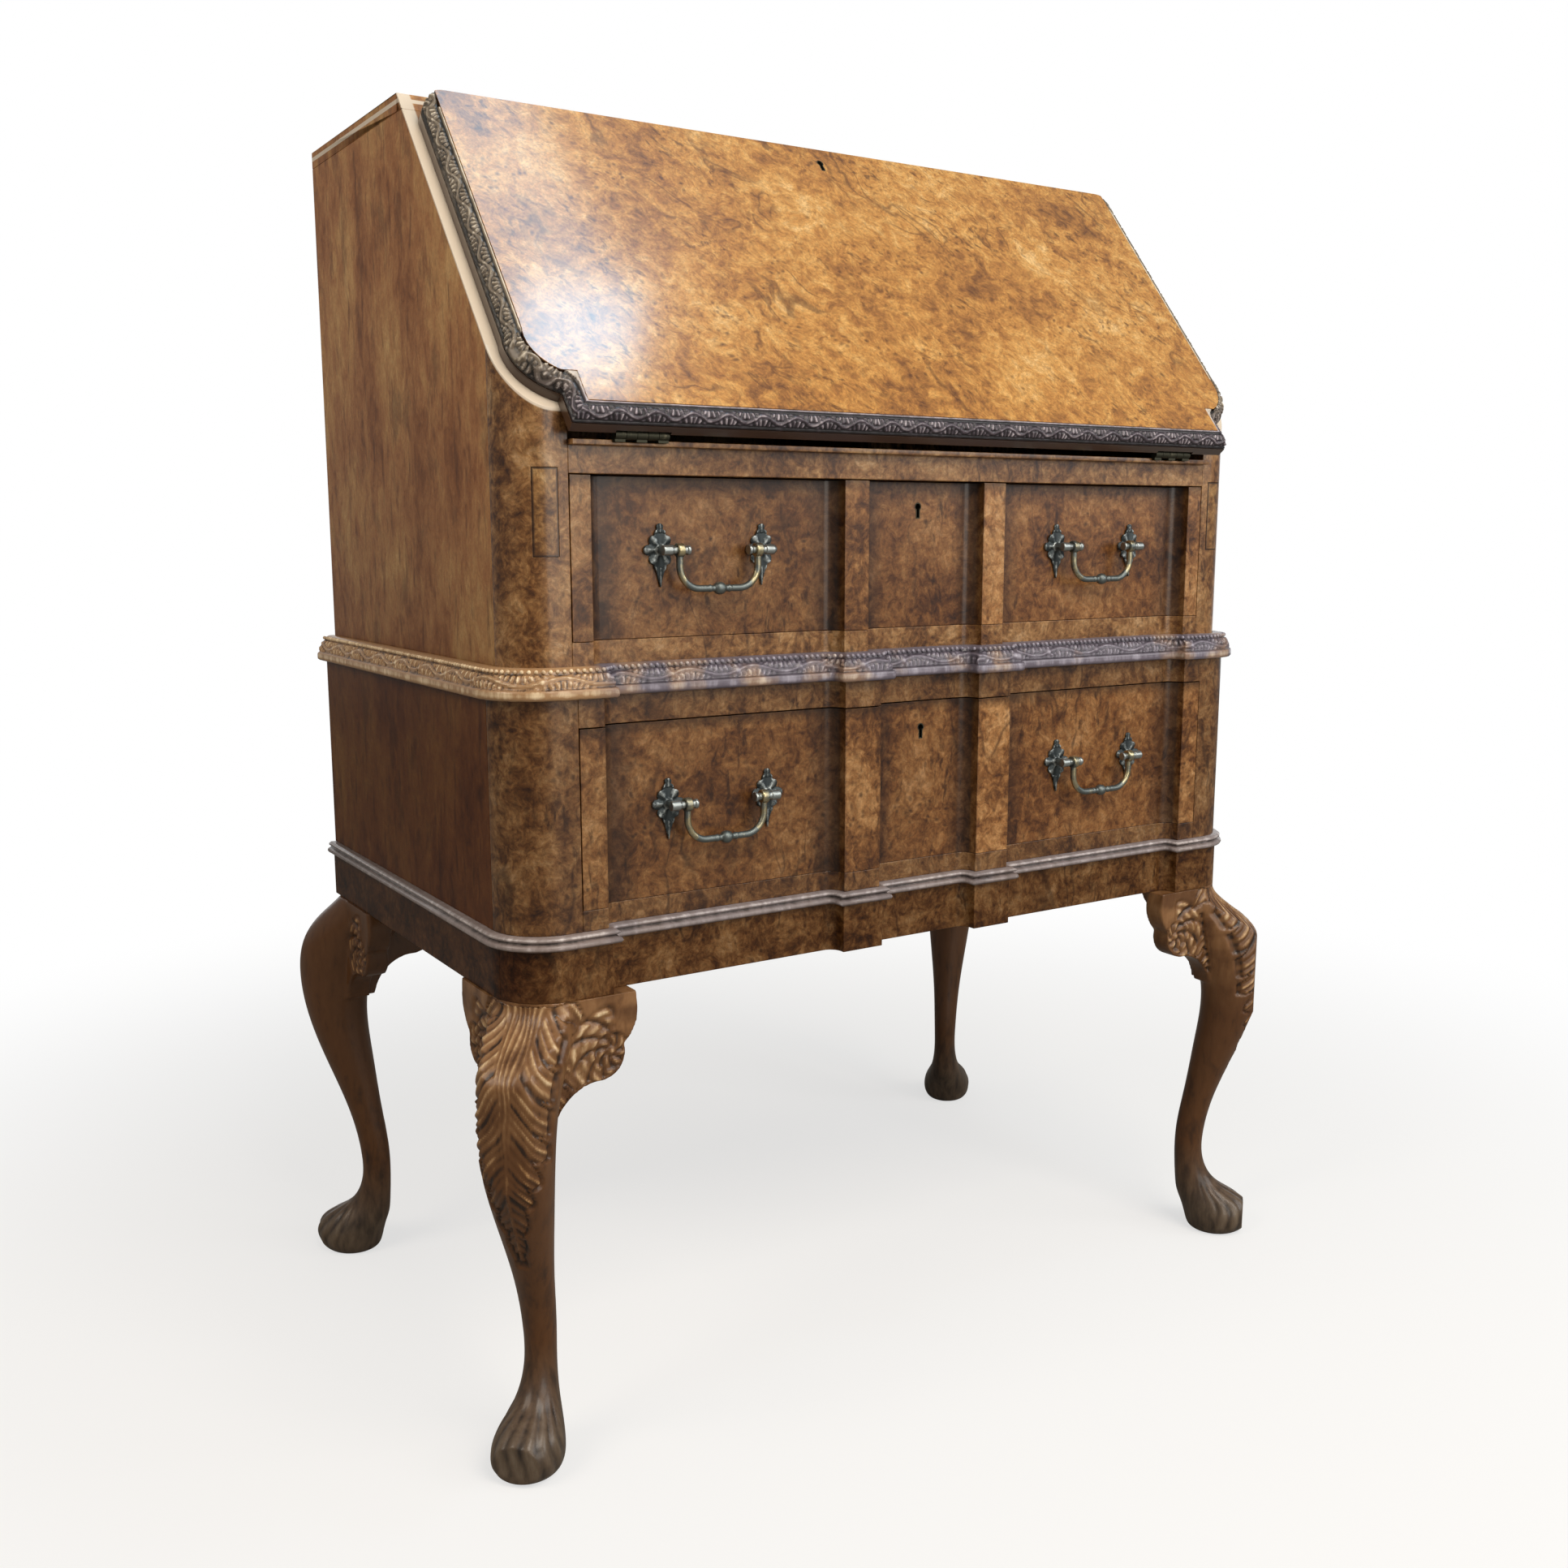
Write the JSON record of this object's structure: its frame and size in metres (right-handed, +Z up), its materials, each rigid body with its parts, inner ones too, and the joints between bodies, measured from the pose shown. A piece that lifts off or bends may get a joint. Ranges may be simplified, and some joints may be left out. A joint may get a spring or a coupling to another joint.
{
  "type": "writing bureau",
  "caption": "Slant-front writing bureau on cabriole legs: drop-down writing fall on pull-out lopers, block-fronted drawers with bail handles, fitted interior.",
  "frame": {"origin": "on the floor under the middle of the whole outline", "axes": "+X to the right seen from the front, the front faces -Y, +Z up"},
  "size_m": [0.8332, 0.5112, 1.046],
  "materials": {
    "burr_walnut_fall": "glossy burr walnut veneer, golden brown",
    "burr_walnut_front": "polished burr walnut veneer, red-brown",
    "walnut_side": "polished walnut veneer",
    "walnut_carved": "waxed solid walnut, worn on the carving",
    "walnut_edge": "dark polished walnut moulding",
    "oak_lining": "plain unpolished lining wood",
    "aged_brass": "dark patinated cast brass, rubbed on the high spots",
    "hinge_brass": "dull brass",
    "bolt_steel": "dull steel",
    "writing_leather": "dark brown skiver, satin"
  },
  "bodies": {
    "carcass": {"leg_front_left": "walnut_carved", "leg_front_right": "walnut_carved", "leg_back_left": "walnut_carved", "leg_back_right": "walnut_carved", "knee_brackets": "walnut_carved", "apron_front": "burr_walnut_front", "apron_left": "walnut_side", "apron_right": "walnut_side", "apron_back": "oak_lining", "base_moulding": "walnut_edge", "lower_side_left": "walnut_side", "lower_side_right": "walnut_side", "lower_post_left": "burr_walnut_front", "lower_post_right": "burr_walnut_front", "lower_top_rail": "burr_walnut_front", "lower_bottom_rail": "burr_walnut_front", "lower_dust_board": "oak_lining", "lower_back": "oak_lining", "lower_runners": "oak_lining", "waist_moulding": "walnut_edge", "upper_side_left": "walnut_side", "upper_side_right": "walnut_side", "upper_post_left": "burr_walnut_front", "upper_post_right": "burr_walnut_front", "upper_bottom_board": "oak_lining", "upper_rail": "burr_walnut_front", "writing_board": "walnut_side", "top_board": "walnut_side", "upper_back": "oak_lining", "loper_guides": "oak_lining", "hinge_fixed_leaves": "hinge_brass", "pigeonholes": "walnut_side"},
    "fall": {"fall_panel": "burr_walnut_fall", "fall_moulding": "walnut_edge", "fall_leather": "writing_leather", "hinge_moving_leaves": "hinge_brass", "fall_lock": "hinge_brass"},
    "fall_lock_bolt": {"fall_bolt": "bolt_steel"},
    "left_loper": {"loper_left": "burr_walnut_front"},
    "right_loper": {"loper_right": "burr_walnut_front"},
    "upper_drawer": {"upper_drawer_front": "burr_walnut_front", "upper_drawer_sides": "oak_lining", "upper_drawer_back": "oak_lining", "upper_drawer_bottom": "oak_lining", "upper_lock": "hinge_brass", "upper_handle_plates": "aged_brass"},
    "upper_lock_bolt": {"upper_bolt": "bolt_steel"},
    "upper_left_bail": {"upper_bail_left": "aged_brass"},
    "upper_right_bail": {"upper_bail_right": "aged_brass"},
    "lower_drawer": {"lower_drawer_front": "burr_walnut_front", "lower_drawer_sides": "oak_lining", "lower_drawer_back": "oak_lining", "lower_drawer_bottom": "oak_lining", "lower_lock": "hinge_brass", "lower_handle_plates": "aged_brass"},
    "lower_lock_bolt": {"lower_bolt": "bolt_steel"},
    "lower_left_bail": {"lower_bail_left": "aged_brass"},
    "lower_right_bail": {"lower_bail_right": "aged_brass"},
    "left_small_drawer": {"small_drawer_left": "walnut_side"},
    "right_small_drawer": {"small_drawer_right": "walnut_side"}
  },
  "joints": [
    {"name": "fall_hinge", "type": "hinge", "parent": "carcass", "child": "fall", "pos_m": [0, -0.221, 0.77946], "axis": [1, 0, 0], "range_deg": [0, 128.7]},
    {"name": "fall_bolt_slide", "type": "slide", "parent": "fall", "child": "fall_lock_bolt", "axis": [0, 0.6252, 0.7804], "range_m": [0, 0.01]},
    {"name": "left_loper_slide", "type": "slide", "parent": "carcass", "child": "left_loper", "axis": [0, -1, 0], "range_m": [0, 0.24]},
    {"name": "right_loper_slide", "type": "slide", "parent": "carcass", "child": "right_loper", "axis": [0, -1, 0], "range_m": [0, 0.24]},
    {"name": "upper_drawer_slide", "type": "slide", "parent": "carcass", "child": "upper_drawer", "axis": [0, -1, 0], "range_m": [0, 0.28]},
    {"name": "lower_drawer_slide", "type": "slide", "parent": "carcass", "child": "lower_drawer", "axis": [0, -1, 0], "range_m": [0, 0.28]},
    {"name": "upper_bolt_slide", "type": "slide", "parent": "upper_drawer", "child": "upper_lock_bolt", "axis": [0, 0, 1], "range_m": [0, 0.005]},
    {"name": "lower_bolt_slide", "type": "slide", "parent": "lower_drawer", "child": "lower_lock_bolt", "axis": [0, 0, 1], "range_m": [0, 0.005]},
    {"name": "upper_left_bail_swing", "type": "hinge", "parent": "upper_drawer", "child": "upper_left_bail", "pos_m": [-0.2005, -0.21, 0.697], "axis": [-1, 0, 0], "range_deg": [-15, 100]},
    {"name": "upper_right_bail_swing", "type": "hinge", "parent": "upper_drawer", "child": "upper_right_bail", "pos_m": [0.2005, -0.21, 0.697], "axis": [-1, 0, 0], "range_deg": [-15, 100]},
    {"name": "lower_left_bail_swing", "type": "hinge", "parent": "lower_drawer", "child": "lower_left_bail", "pos_m": [-0.2005, -0.218, 0.504], "axis": [-1, 0, 0], "range_deg": [-15, 100]},
    {"name": "lower_right_bail_swing", "type": "hinge", "parent": "lower_drawer", "child": "lower_right_bail", "pos_m": [0.2005, -0.218, 0.504], "axis": [-1, 0, 0], "range_deg": [-15, 100]},
    {"name": "left_small_drawer_slide", "type": "slide", "parent": "carcass", "child": "left_small_drawer", "axis": [0, -1, 0], "range_m": [0, 0.12]},
    {"name": "right_small_drawer_slide", "type": "slide", "parent": "carcass", "child": "right_small_drawer", "axis": [0, -1, 0], "range_m": [0, 0.12]}
  ]
}
